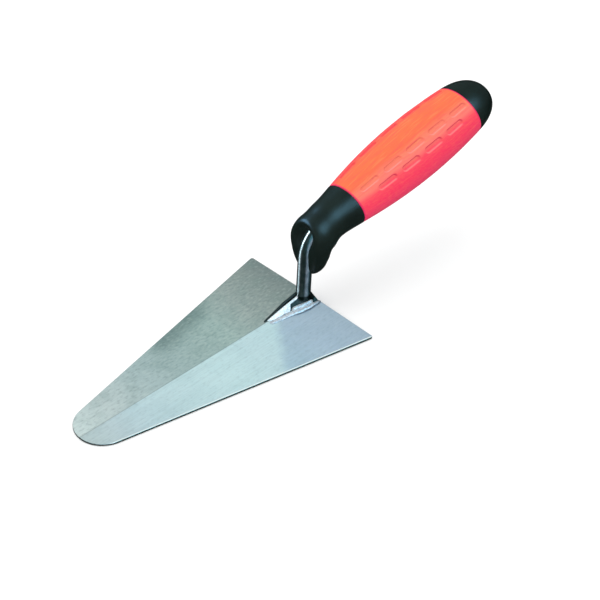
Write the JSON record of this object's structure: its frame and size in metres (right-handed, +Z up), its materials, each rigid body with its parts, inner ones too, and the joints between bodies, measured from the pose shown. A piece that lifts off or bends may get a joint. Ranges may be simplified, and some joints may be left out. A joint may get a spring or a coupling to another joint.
{
  "type": "brick trowel",
  "caption": "Brick trowel with a tapered round-tipped steel blade, a welded cranked neck and a soft two-colour handle with a finger guard.",
  "frame": {"origin": "middle of the blade's heel edge, on the flat underside of the blade", "axes": "+X from the heel to the tip of the blade, +Z up from the blade towards the handle, +Y across the blade; the handle leans back over -X and the object is symmetric about the XZ plane apart from its welds"},
  "size_m": [0.2928, 0.094, 0.0829],
  "materials": {
    "blade_steel": "ground lengthwise in two halves, satin",
    "forged_steel": "polished dark forging, glossy",
    "weld_steel": "weld bead, partly ground and brushed",
    "core_plastic": "plain moulding, hidden inside the handle",
    "black_plastic": "black soft-touch moulding with a low sheen",
    "grip_rubber": "red-orange soft rubber, satin, with moulded slots"
  },
  "bodies": {
    "root": {"blade": "blade_steel", "shank": "forged_steel", "weld_left": "weld_steel", "weld_right": "weld_steel", "handle_core": "core_plastic", "nose_guard": "black_plastic", "grip_sleeve": "grip_rubber", "end_cap": "black_plastic"}
  },
  "joints": []
}
